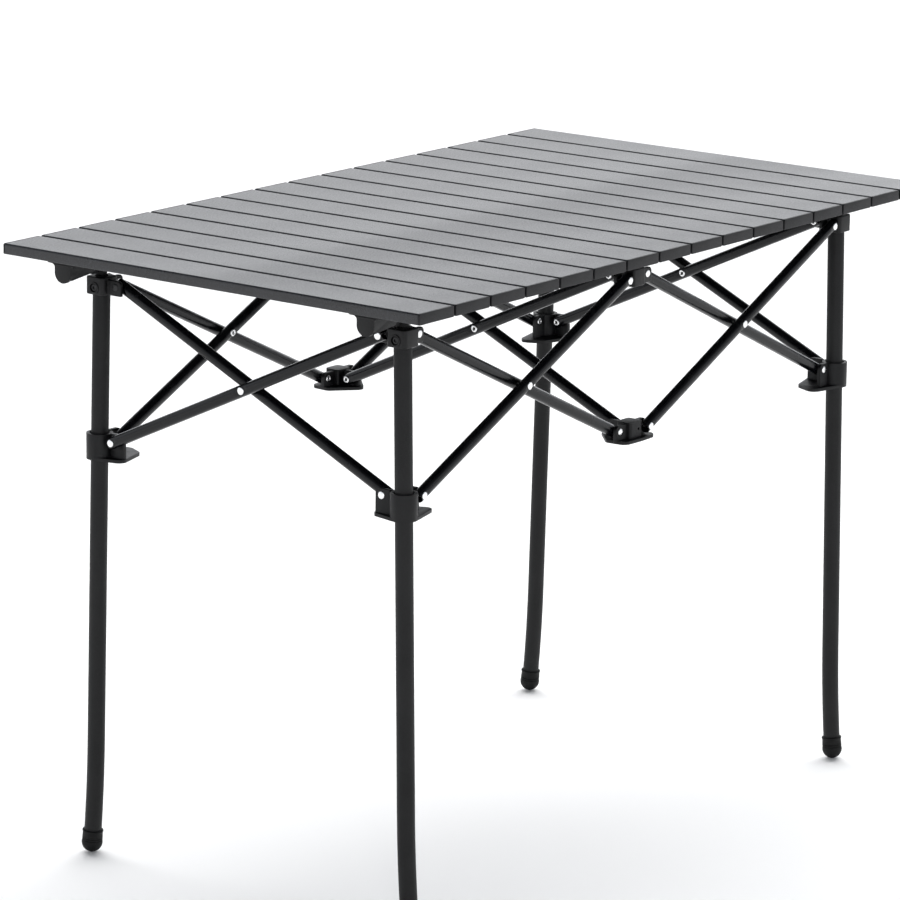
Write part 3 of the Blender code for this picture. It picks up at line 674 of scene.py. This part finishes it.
def build_foot(corner, sx, sy):
    """Rubber boot: domed sole, two grip grooves and a rolled lip, turned about the leg's lower end."""
    centre, u, v = leg_frame(sx, sy, FOOT_RADIUS)
    along = u.cross(v)
    rise = FOOT_HEIGHT - FOOT_RADIUS
    bore = LEG_RADIUS + 0.0001
    wall = FOOT_RADIUS - 0.0003
    dome_steps = 12
    dome = [(FOOT_RADIUS * math.cos(a), FOOT_RADIUS * math.sin(a))
            for a in [-math.pi / 2 + math.pi / 2 * i / dome_steps for i in range(dome_steps + 1)]]
    dome[0] = (0.0, -FOOT_RADIUS)
    profile = list(dome)
    for groove in (0.0030, 0.0055):
        profile += [(wall, groove - 0.0005), (wall - 0.0006, groove), (wall, groove + 0.0005)]
    profile += [(wall - 0.0003, rise - 0.0028), (wall + 0.0002, rise - 0.0020)]
    profile += [(wall + 0.0003, rise - 0.0010)]
    profile += [(wall, rise - 0.0003), (wall - 0.0005, rise), (bore + 0.0003, rise), (bore, rise - 0.0004)]
    profile += [(bore, 0.0002), (0.0, 0.0002)]
    boot = lathe(profile, centre, along, 48)
    piece(f"foot_{corner}_boot", boot, FOOT_RUBBER, f"leg_{corner}", f"foot_{corner}")


# ---------------------------------------------------------------- scissor bars and rivets

def bar_tube(length):
    """Tube along local X between its pivots, pressed slightly flat where rivets seat."""
    seats = (0.0, length / 2, length)
    stops = {-BAR_OVERHANG, length + BAR_OVERHANG}
    for seat in seats:
        stops |= {seat + d * 0.001 for d in (-11, -9, -7, -5.5, -4, -2, 0, 2, 4, 5.5, 7, 9, 11)}
    stops = sorted(x for x in stops if -BAR_OVERHANG <= x <= length + BAR_OVERHANG)
    mesh = swept_tube([(X_AXIS * x, Y_AXIS, Z_AXIS) for x in stops], BAR_RADIUS, BAR_WALL)
    press = 0.0006
    for vertex in mesh.vertices:
        near = min(abs(vertex.co.x - seat) for seat in seats)
        share = 1.0 - min(1.0, max(0.0, (near - 0.0045) / 0.0060))
        limit = BAR_RADIUS - press * share * share * (3 - 2 * share)
        if vertex.co.y ** 2 + vertex.co.z ** 2 > (BAR_RADIUS - BAR_WALL / 2) ** 2:
            vertex.co.y = max(-limit, min(limit, vertex.co.y))
    return mesh


def rivet_mesh(grip):
    """Rivet along local Z: domed head above grip, tubular rolled tail below zero."""
    head = [(RIVET_HEAD, grip)]
    head += [(RIVET_HEAD * math.cos(a), grip + 0.0002 + (RIVET_RISE - 0.0002) * math.sin(a))
             for a in [math.pi / 2 * i / 6 for i in range(6)]]
    tail = [(0.0, 0.0030), (0.0015, 0.0030), (0.0016, -0.0004), (0.0019, -0.0009), (0.0026, -0.0012),
            (0.0034, -0.0010), (0.0039, -0.0004), (0.0038, 0.0), (RIVET_SHANK, 0.0), (RIVET_SHANK, grip)]
    return lathe(tail + head + [(0.0, grip + RIVET_RISE)], (0, 0, 0), Z_AXIS, 28)


def scissor_pairs():
    """Each pair: label, its two columns and the unit vector out of the table."""
    x, y = COLUMN_X, COLUMN_Y
    return (("front_left", (-x, -y), (0, -y), (0, -1, 0)), ("front_right", (0, -y), (x, -y), (0, -1, 0)),
            ("rear_left", (-x, y), (0, y), (0, 1, 0)), ("rear_right", (0, y), (x, y), (0, 1, 0)),
            ("left_end", (-x, -y), (-x, y), (-1, 0, 0)), ("centre", (0, -y), (0, y), (1, 0, 0)),
            ("right_end", (x, -y), (x, y), (1, 0, 0)))


def turned_to(direction, point):
    """Matrix that takes local Z to direction and the origin to point."""
    return Matrix.Translation(point) @ Vector(direction).to_track_quat("Z", "Y").to_matrix().to_4x4()


def build_scissors():
    run_length = 2 * COLUMN_Y - 2 * PIVOT_REACH
    length = math.hypot(run_length, UPPER_PIVOT_Z - LOWER_PIVOT_Z)
    tube = bar_tube(length)
    seat = BAR_OFFSET + BAR_RADIUS - 0.0005
    lug_face = LUG_THICKNESS - GAP
    end_rivet, dark_rivet = rivet_mesh(seat + lug_face), rivet_mesh(seat + lug_face)
    cross_rivet = rivet_mesh(2 * seat)
    for label, start, end, outward in scissor_pairs():
        a, b, out = Vector((*start, 0)), Vector((*end, 0)), Vector(outward)
        run = (b - a).normalized()
        along_x = abs(run.x) > 0.5
        side = -Y_AXIS if along_x else -X_AXIS
        middle = (a + b) / 2 + Z_AXIS * (UPPER_PIVOT_Z + LOWER_PIVOT_Z) / 2
        piece(f"rivet_{label}_crossing", cross_rivet, RIVET_METAL, f"bar_{label}_a",
              matrix=turned_to(out, middle - out * seat))
        for letter, sign in (("a", 1), ("b", -1)):
            shift = side * (sign * BAR_OFFSET)
            near, far = a + run * PIVOT_REACH, b - run * PIVOT_REACH
            upper, lower = (far, near) if along_x == (sign > 0) else (near, far)
            upper, lower = upper + Z_AXIS * UPPER_PIVOT_Z, lower + Z_AXIS * LOWER_PIVOT_Z
            along, across = (lower - upper).normalized(), side * sign
            turn = Matrix((along, across, along.cross(across))).transposed().to_4x4()
            name = f"bar_{label}_{letter}"
            piece(f"{name}_tube", tube, TUBE_PAINT, name, name,
                  Matrix.Translation(upper + shift) @ turn)
            outer = (side * sign).dot(out) > 0
            tail = -lug_face if outer else -seat
            for end_name, pivot in (("upper", upper), ("lower", lower)):
                is_dark = (label, letter, end_name) == ("left_end", "b", "upper")
                piece(f"rivet_{label}_{letter}_{end_name}", dark_rivet if is_dark else end_rivet,
                      SCREW_METAL if is_dark else RIVET_METAL, name,
                      matrix=turned_to(out, pivot + out * tail))


# ---------------------------------------------------------------- hubs

def hub_arms(sx, sy, is_upper):
    """Directions of a column's lugs, each with the unit vector towards the side its bar is on."""
    arms = []
    for dx in (-1, 1):
        if sx == 0 or dx == -sx:
            bar_side = -1 if is_upper == (dx < 0) else 1
            arms.append((Vector((dx, 0, 0)), Vector((0, bar_side, 0))))
    dy = -sy
    bar_side = -1 if is_upper == (dy > 0) else 1
    arms.append((Vector((0, dy, 0)), Vector((bar_side, 0, 0))))
    return arms


def turn(a, b, c):
    return (b[0] - a[0]) * (c[1] - a[1]) - (b[1] - a[1]) * (c[0] - a[0])


def convex_hull(points):
    points = sorted(set(points))

    def half(ordered):
        chain = []
        for p in ordered:
            while len(chain) > 1 and turn(chain[-2], chain[-1], p) <= 1e-12:
                chain.pop()
            chain.append(p)
        return chain[:-1]

    return half(points) + half(points[::-1])


def add_lugs(mesh, axis, arms, pivot_z, bottom_z, root):
    """Unites the plates that carry the bars, each on the far side of its pair's middle plane."""
    radius, top = 0.0050, pivot_z + LUG_RISE
    for direction, bar_side in arms:
        outline = [(root, bottom_z), (LUG_REACH, bottom_z)]
        outline += circle(radius, 8, (LUG_REACH - radius, top - radius), 0, math.pi / 2)
        outline += [(root, top)]
        start = Vector((axis.x, axis.y, 0)) + bar_side * (GAP * 2 / 3)
        mesh = join(mesh, prism(outline, direction, Z_AXIS, start, -bar_side * LUG_THICKNESS))
    return mesh


def flange(centre, radius, ends, bottom_z):
    points = circle(radius, 48, (centre.x, centre.y))
    for end in ends:
        points += circle(FLANGE_END_RADIUS, 40, (end.x, end.y))
    rounded = [(round(a, 7), round(b, 7)) for a, b in points]
    return prism(convex_hull(rounded), X_AXIS, Y_AXIS, (0, 0, bottom_z), (0, 0, FLANGE_THICKNESS))


def screw_mesh(radius, rise, recess):
    """Button-head screw along local Z with a cross recess."""
    profile = [(0.0, -0.0008), (radius, -0.0008), (radius, rise * 0.35)]
    profile += [(radius * math.cos(a), rise * 0.35 + rise * 0.65 * math.sin(a))
                for a in [math.pi / 2 * i / 6 for i in range(1, 6)]]
    head = lathe(profile + [(0.0, rise)], (0, 0, 0), Z_AXIS, 32)
    arm, half = radius * 0.62, radius * 0.14
    for turn_angle in (0.0, math.pi / 2):
        slot = box((-arm, -half, rise - recess), (arm, half, rise + 0.001))
        slot.transform(Matrix.Rotation(turn_angle, 4, "Z"))
        head = cut(head, slot)
    return head


def hex_screw_mesh(radius, rise, recess):
    """Cap screw along local Z with a hexagon socket."""
    head = lathe([(0.0, -0.0004), (radius, -0.0004), (radius, rise - 0.0004), (radius - 0.0004, rise),
                  (0.0, rise)], (0, 0, 0), Z_AXIS, 32)
    hexagon = rod(Z_AXIS * (rise - recess), Z_AXIS * (rise + 0.001), radius * 0.60, 6)
    return cut(head, hexagon)


def neck_mesh(axis, top_z):
    """Round post between a hub's block and the top, a little wider at its foot."""
    low, height = CAP_TOP_Z - 0.001, top_z - CAP_TOP_Z + 0.001
    return lathe([(0.0, 0.0), (NECK_RADIUS + 0.0012, 0.0), (NECK_RADIUS + 0.0012, 0.0016),
                  (NECK_RADIUS, 0.0030), (NECK_RADIUS, height - 0.0008),
                  (NECK_RADIUS - 0.0008, height), (0.0, height)], axis + Z_AXIS * low, Z_AXIS)


def build_caps():
    screw = hex_screw_mesh(*CAP_SCREW)
    for corner, sx, sy in CORNERS:
        axis = Vector((sx * COLUMN_X, sy * COLUMN_Y, 0))
        arms = hub_arms(sx, sy, True)
        body = prism(rounded_rectangle(CAP_HALF, CAP_HALF, CAP_CORNER), X_AXIS, Y_AXIS,
                     axis + Z_AXIS * CAP_BOTTOM_Z, (0, 0, CAP_TOP_Z - CAP_BOTTOM_Z))
        mesh = soften(add_lugs(body, axis, arms, UPPER_PIVOT_Z, CAP_BOTTOM_Z, CAP_HALF - 0.002), 0.0010)
        out = Vector((sx, 0, 0))
        face = axis + out * CAP_HALF + Z_AXIS * LEG_PIN_Z
        ring = [(0.0, -0.0010), (BOSS_RADIUS, -0.0010), (BOSS_RADIUS, BOSS_HEIGHT * 0.6),
                (BOSS_RADIUS - 0.0004, BOSS_HEIGHT), (0.0, BOSS_HEIGHT)]
        boss = lathe(ring, face, out)
        well = lathe([(0.0, -0.0018), (0.0046, -0.0018), (0.0049, BOSS_HEIGHT + 0.001),
                      (0.0, BOSS_HEIGHT + 0.001)], face, out)
        socket = rod(axis + Z_AXIS * (CAP_BOTTOM_Z - 0.001), axis + Z_AXIS * (LEG_TOP_Z + 3 * GAP),
                     CAP_SOCKET_RADIUS)
        mesh = cut(join(mesh, boss), well, socket)
        name = f"leg_cap_{corner}"
        piece(f"{name}_moulding", mesh, HUB_NYLON, name, name)
        # The neck's matt black finish is partly painted shade between the cap and the bracket plate.
        piece(f"{name}_neck", neck_mesh(axis, NECK_TOP_Z), NECK_RUBBER_AND_SHADE, name)
        piece(f"{name}_screw", screw, SCREW_METAL, name,
              matrix=turned_to(out, face - out * 0.0016))


def mid_body(axis, low, high):
    return prism(rounded_rectangle(MID_HALF_X, MID_HALF_Y, 0.003), X_AXIS, Y_AXIS,
                 axis + Z_AXIS * low, (0, 0, high - low))


def build_mid_hubs():
    for side, sy in (("front", -1), ("rear", 1)):
        axis = Vector((0, sy * COLUMN_Y, 0))
        peep = rod(axis + Vector((0.004, -0.02, LOWER_PIVOT_Z)), axis + Vector((0.004, 0.02, LOWER_PIVOT_Z)),
                   0.0016, 20)
        arms = hub_arms(0, sy, True)
        top = soften(add_lugs(mid_body(axis, CAP_BOTTOM_Z, CAP_TOP_Z), axis, arms, UPPER_PIVOT_Z,
                              CAP_BOTTOM_Z, 0.006), 0.0009)
        name = f"mid_hub_top_{side}"
        piece(f"{name}_moulding", top, HUB_NYLON, name, name)
        # The neck's matt black finish is partly painted shade under the top.
        piece(f"{name}_neck", neck_mesh(axis, MID_NECK_TOP_Z), NECK_RUBBER_AND_SHADE, name)
        arms = hub_arms(0, sy, False)
        ends = [axis + Vector((turn_x * across, -sy * along, 0))
                for across, along in MID_FLANGE_ENDS for turn_x in (-1, 1)]
        low = join(mid_body(axis, MID_LOW_BOTTOM_Z, MID_LOW_TOP_Z),
                   flange(axis, MID_FLANGE_RADIUS, ends, MID_LOW_BOTTOM_Z))
        low = add_lugs(low, axis, arms, LOWER_PIVOT_Z, MID_LOW_BOTTOM_Z + 0.001, 0.006)
        name = f"mid_hub_low_{side}"
        piece(f"{name}_moulding", cut(soften(low, 0.0009), peep), HUB_NYLON, name, name)


def build_collars():
    middle_z = (COLLAR_BOTTOM_Z + COLLAR_TOP_Z) / 2
    for corner, sx, sy in CORNERS:
        axis = Vector((sx * COLUMN_X, sy * COLUMN_Y, 0))
        arms = hub_arms(sx, sy, False)
        centre = axis + Vector((0, sy * leg_offset(middle_z), 0))
        ring = rod(centre + Z_AXIS * COLLAR_BOTTOM_Z, centre + Z_AXIS * COLLAR_TOP_Z, COLLAR_RADIUS, 64)
        ends = [axis + Vector((-sx * across, -sy * along, 0)) for across, along in COLLAR_FLANGE_ENDS]
        mesh = join(ring, flange(centre, COLLAR_RADIUS, ends, COLLAR_BOTTOM_Z))
        mesh = add_lugs(mesh, axis, arms, LOWER_PIVOT_Z, COLLAR_BOTTOM_Z + 0.001, 0.0115)
        bore = rod(centre + Z_AXIS * (COLLAR_BOTTOM_Z - 0.001), centre + Z_AXIS * (COLLAR_TOP_Z + 0.001),
                   COLLAR_BORE, 64)
        name = f"collar_{corner}"
        piece(f"{name}_moulding", soften(cut(mesh, bore), 0.0008), HUB_NYLON, name, name)


# ---------------------------------------------------------------- brackets and latch levers

def build_bracket(corner, sx, sy, slat, screw):
    """Plate under an end slat, with the lever's pin and four screws."""
    x, y = sx * COLUMN_X, sy * COLUMN_Y
    middle_x = x + sx * (PLATE_OUTER - PLATE_INNER) / 2
    outline = rounded_rectangle((PLATE_OUTER + PLATE_INNER) / 2, PLATE_HALF_WIDTH, 0.004)
    plate = prism(outline, X_AXIS, Y_AXIS, (middle_x, y, PLATE_UNDERSIDE), (0, 0, PLATE_THICKNESS))
    plate = soften(plate, 0.0006)
    pivot = Vector((x + sx * LATCH_PIVOT, y, PLATE_UNDERSIDE))
    end, head = -LATCH_PIN_LENGTH, -LATCH_PIN_LENGTH - LATCH_HEAD_HEIGHT
    pin = lathe([(0.0, 0.0015), (LATCH_PIN_RADIUS, 0.0015), (LATCH_PIN_RADIUS, end),
                 (LATCH_HEAD_RADIUS, end), (LATCH_HEAD_RADIUS, head + 0.0006),
                 (LATCH_HEAD_RADIUS - 0.0006, head), (0.0, head)], pivot, Z_AXIS)
    name = f"bracket_{corner}"
    spots = [Vector((x + sx * out, y + side, PLATE_UNDERSIDE + SCREW_SINK))
             for out in BRACKET_SCREW_OUTS for side in BRACKET_SCREW_SIDES]
    wells = [rod(spot, spot - Z_AXIS * (SCREW_SINK + 0.001), SCREW_WELL_RADIUS) for spot in spots]
    piece(f"{name}_plate", join(cut(plate, *wells), pin), HUB_NYLON, slat, name)
    for index, spot in enumerate(spots):
        piece(f"{name}_screw_{index + 1}", screw, SCREW_METAL, slat,
              matrix=turned_to((0, 0, -1), spot))


def fin_outline():
    """Finger fin seen from the table's end: flared at the top, half-round at the bottom."""
    half, flare = FIN_HALF_WIDTH, FIN_HALF_WIDTH + FIN_FILLET
    bottom = circle(half, 33, (0, half - FIN_DEPTH), math.pi, math.pi)
    left = circle(FIN_FILLET, 9, (-flare, -FIN_FILLET), math.pi / 2, -math.pi / 2)
    right = circle(FIN_FILLET, 9, (flare, -FIN_FILLET), math.pi, -math.pi / 2)
    return left + bottom + right


def build_latch(corner, sx, sy):
    """Swing lever: finger fin at the table's end, a ribbed arm, the hub on the pin and the neck's jaw."""
    x, y = sx * COLUMN_X, sy * COLUMN_Y
    top = PLATE_UNDERSIDE - GAP
    out = Vector((sx, 0, 0))
    origin = Vector((x, y, top))

    def block(start, end, side_low, side_high, depth, drop=0.0):
        xs = sorted((x + sx * start, x + sx * end))
        return box((xs[0], y + side_low, top - depth), (xs[1], y + side_high, top - drop))

    fin = prism(fin_outline(), Y_AXIS, Z_AXIS, origin + out * (PLATE_OUTER - FIN_THICKNESS),
                out * FIN_THICKNESS)
    arm_end = PLATE_OUTER - FIN_THICKNESS + 0.0005
    arm = prism([(ARM_START, 0), (ARM_START, -ARM_START_DEPTH), (arm_end, -ARM_END_DEPTH), (arm_end, 0)],
                out, Z_AXIS, origin - Y_AXIS * ARM_HALF_WIDTH, Y_AXIS * (2 * ARM_HALF_WIDTH))
    pivot = origin + out * LATCH_PIVOT
    hub = rod(pivot, pivot - Z_AXIS * LATCH_DEPTH, LATCH_HUB_RADIUS)
    jaw = block(-JAW_REACH, WEB_OUTER, JAW_CLEAR, JAW_CLEAR + JAW_WALL, JAW_DEPTH)
    web = block(JAW_CLEAR, WEB_OUTER, -WEB_SIDE, JAW_CLEAR + 0.001, JAW_DEPTH)
    bore = rod(pivot + Z_AXIS * 0.001, pivot - Z_AXIS * (2 * LATCH_DEPTH), LATCH_PIN_RADIUS + GAP)
    seat = pivot - Z_AXIS * (LATCH_PIN_LENGTH - 2 * GAP)
    counterbore = rod(seat, seat - Z_AXIS * LATCH_DEPTH, LATCH_HEAD_RADIUS + GAP)
    pockets = [block(start, end, low, high, 0.03, 0.0040)
               for start, end in ARM_BAYS
               for low, high in ((-ARM_HALF_WIDTH + ARM_RIB, -ARM_RIB / 2),
                                 (ARM_RIB / 2, ARM_HALF_WIDTH - ARM_RIB))]
    mesh = cut(join(fin, arm, hub, jaw, web), bore, counterbore, *pockets)
    name = f"latch_{corner}"
    piece(f"{name}_lever", soften(mesh, 0.0006), HUB_NYLON, name, name)


def build_corners():
    screw = screw_mesh(*BRACKET_SCREW)
    for corner, sx, sy in CORNERS:
        build_bracket(corner, sx, sy, "slat_01" if sx < 0 else "slat_16", screw)
        build_latch(corner, sx, sy)


# ---------------------------------------------------------------- camera, floor and light

def build_camera():
    """Long lens from the front left, a little above the top, rolled by under a degree."""
    azimuth, elevation, roll = math.radians(-52.96), math.radians(13.62), math.radians(0.747)
    target, distance = Vector((0.1789, 0.1763, 0.35)), 5.6055
    back = Vector((math.sin(azimuth) * math.cos(elevation), -math.cos(azimuth) * math.cos(elevation),
                   math.sin(elevation)))
    right = (-back).cross(Z_AXIS).normalized()
    up = right.cross(-back)
    rolled_right = right * math.cos(roll) + up * math.sin(roll)
    rolled_up = up * math.cos(roll) - right * math.sin(roll)
    data = bpy.data.cameras.new("camera")
    data.sensor_width = 36.0
    data.lens = 192.43
    data.clip_end = 200.0
    camera = bpy.data.objects.new("camera", data)
    turn_matrix = Matrix((rolled_right, rolled_up, back)).transposed().to_4x4()
    camera.matrix_world = Matrix.Translation(target + back * distance) @ turn_matrix
    bpy.context.scene.collection.objects.link(camera)
    bpy.context.scene.camera = camera


def area_light(name, place, target, size, power, color=(1.0, 1.0, 1.0)):
    data = bpy.data.lights.new(name, "AREA")
    data.shape = "RECTANGLE"
    data.size, data.size_y = size
    data.energy = power
    data.color = color
    light = bpy.data.objects.new(name, data)
    place, target = Vector(place), Vector(target)
    aim = (target - place).to_track_quat("-Z", "Y").to_matrix().to_4x4()
    light.matrix_world = Matrix.Translation(place) @ aim
    bpy.context.scene.collection.objects.link(light)


def sun_light(name, direction, strength, spread):
    data = bpy.data.lights.new(name, "SUN")
    data.energy = strength
    data.angle = math.radians(spread)
    light = bpy.data.objects.new(name, data)
    light.rotation_mode = "QUATERNION"
    light.rotation_quaternion = Vector(direction).to_track_quat("-Z", "Y")
    light.visible_glossy = False
    bpy.context.scene.collection.objects.link(light)


def build_world():
    """White near the horizon like a lit studio wall, darker overhead."""
    world = bpy.data.worlds.new("studio")
    world.use_nodes = True
    tree = world.node_tree
    coords = tree.nodes.new("ShaderNodeTexCoord")
    split = tree.nodes.new("ShaderNodeSeparateXYZ")
    ramp = tree.nodes.new("ShaderNodeMapRange")
    tree.links.new(coords.outputs["Generated"], split.inputs["Vector"])
    tree.links.new(split.outputs["Z"], ramp.inputs["Value"])
    ramp.inputs["From Min"].default_value = 0.30
    ramp.inputs["From Max"].default_value = 0.65
    ramp.inputs["To Min"].default_value = 1.12
    ramp.inputs["To Max"].default_value = 0.14
    background = tree.nodes["Background"]
    background.inputs["Color"].default_value = (0.925, 0.955, 1.0, 1.0)
    tree.links.new(ramp.outputs["Result"], background.inputs["Strength"])
    bpy.context.scene.world = world


def build_studio():
    half = 40.0
    bm = bmesh.new()
    corners = ((-half, -half), (half, -half), (half, half), (-half, half))
    bm.faces.new([bm.verts.new((x, y, 0)) for x, y in corners])
    floor = bpy.data.objects.new("studio_floor", mesh_from(bm, "studio_floor"))
    floor.data.materials.append(floor_material("studio_floor"))
    bpy.context.scene.collection.objects.link(floor)
    build_world()
    sun_light("key", (-0.90, -0.60, -1.0), 4.7, 80.0)
    area_light("back_panel", (1.75, 1.15, 1.20), (0.10, 0.0, 0.70), (2.8, 0.8), 6.5)
    area_light("right_panel", (2.6, 0.3, 1.25), (0.40, 0.0, 0.68), (1.4, 0.8), 2.6)
    area_light("side_strip", (-2.6, -2.2, 1.7), (-0.1, -0.1, 0.5), (0.22, 1.8), 7.0)
    bpy.context.scene.view_settings.view_transform = "Standard"


build_camera()
build_studio()
build_top()
build_cords()
build_legs()
build_scissors()
build_caps()
build_mid_hubs()
build_collars()
build_corners()
